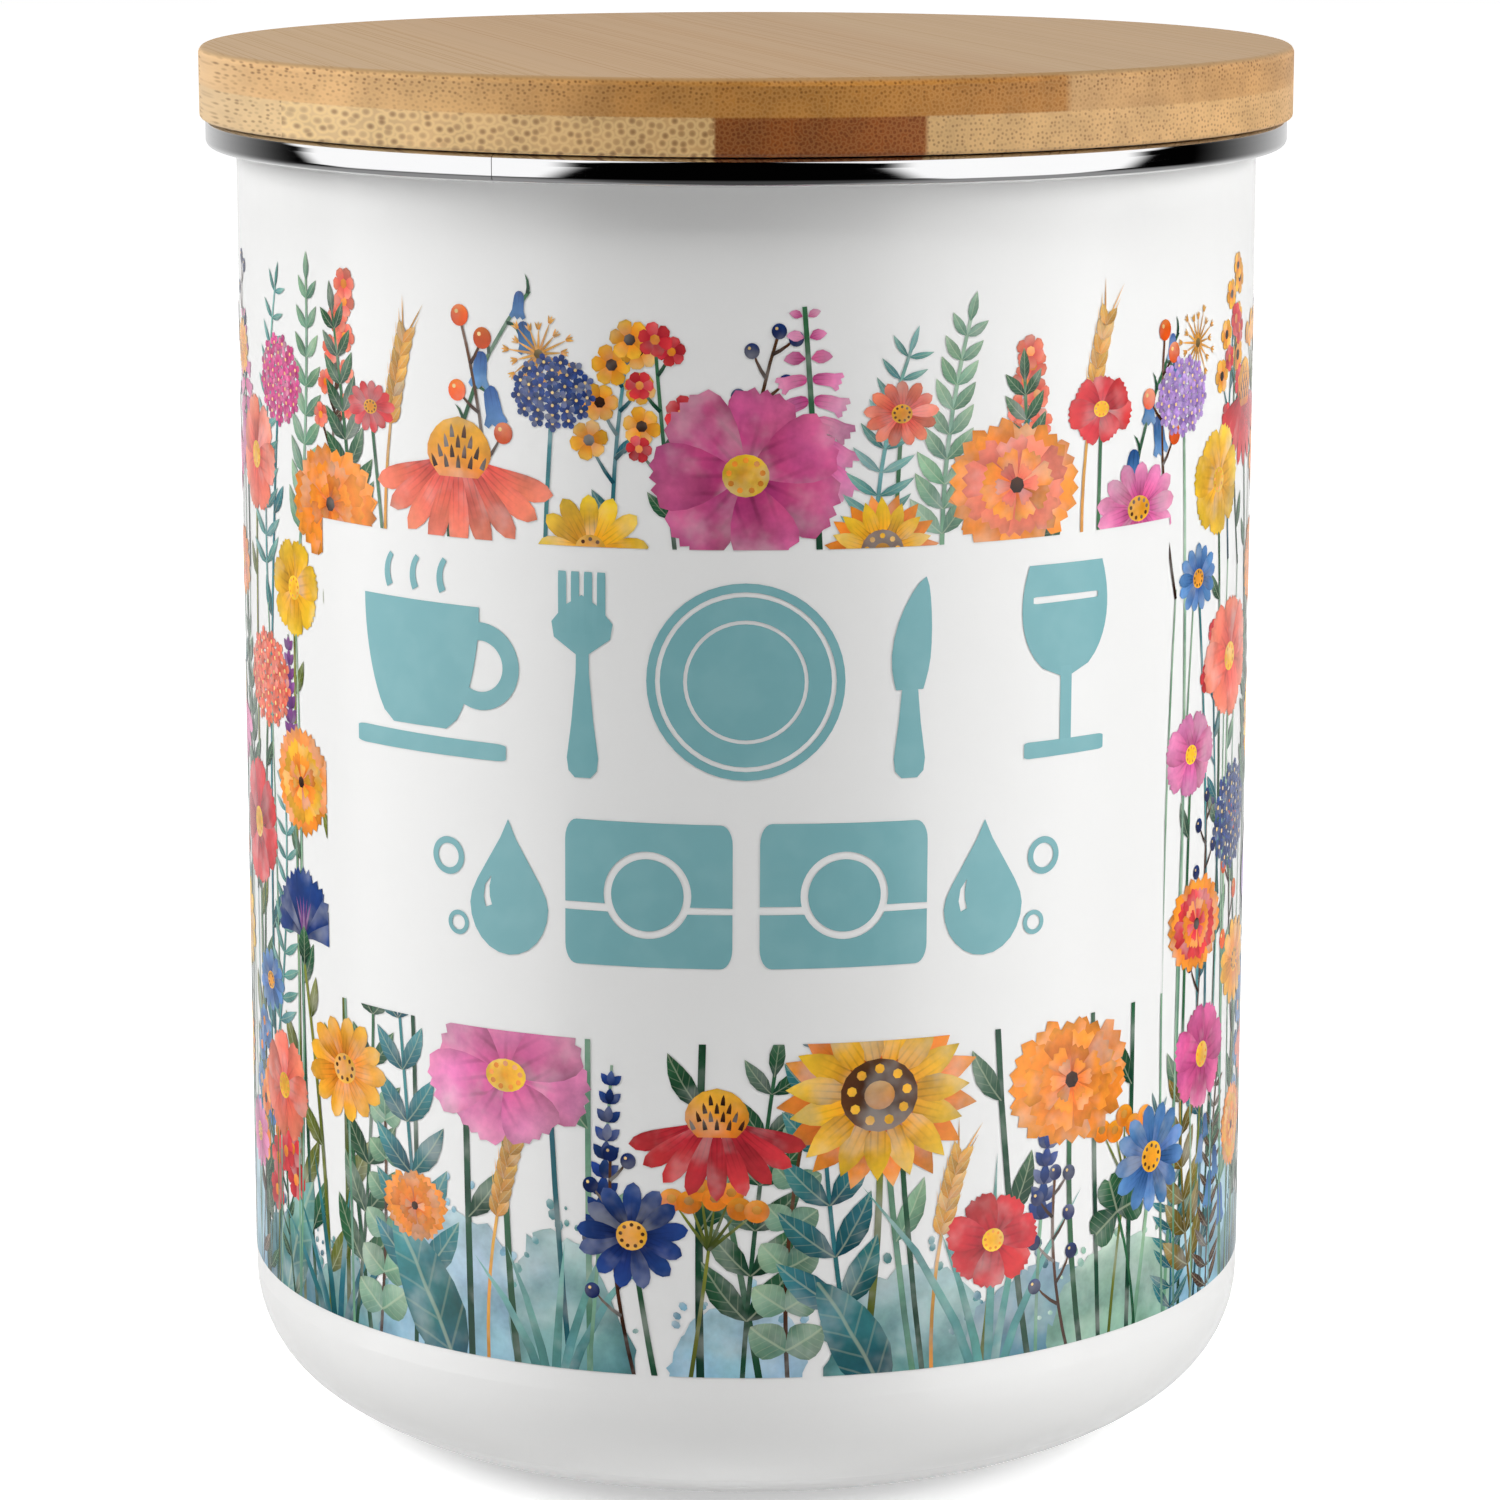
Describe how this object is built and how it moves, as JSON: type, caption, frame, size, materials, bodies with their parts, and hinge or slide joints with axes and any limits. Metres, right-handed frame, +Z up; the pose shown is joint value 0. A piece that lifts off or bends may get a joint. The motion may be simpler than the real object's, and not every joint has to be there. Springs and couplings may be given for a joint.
{
  "type": "dishwasher tablet storage tin",
  "caption": "Round enamelled steel storage tin with a rounded base, a steel-trimmed rolled mouth and a lift-off bamboo lid.",
  "frame": {"origin": "centre of the surface that the tin stands on", "axes": "+Z up along the turned axis, -Y towards the front, where the bare label panel of the print is"},
  "size_m": [0.12, 0.12, 0.1531],
  "materials": {
    "enamel": "gloss",
    "trim_steel": "polished",
    "bamboo": "satin",
    "silicone": "matte"
  },
  "bodies": {
    "tin": {"canister_body": "enamel", "rim_trim": "trim_steel"},
    "lid": {"bamboo_lid": "bamboo", "lid_seal": "silicone"}
  },
  "joints": [
    {"name": "lid_lift", "type": "slide", "parent": "tin", "child": "lid", "axis": [0, 0, 1], "range_m": [0, 0.12]}
  ]
}
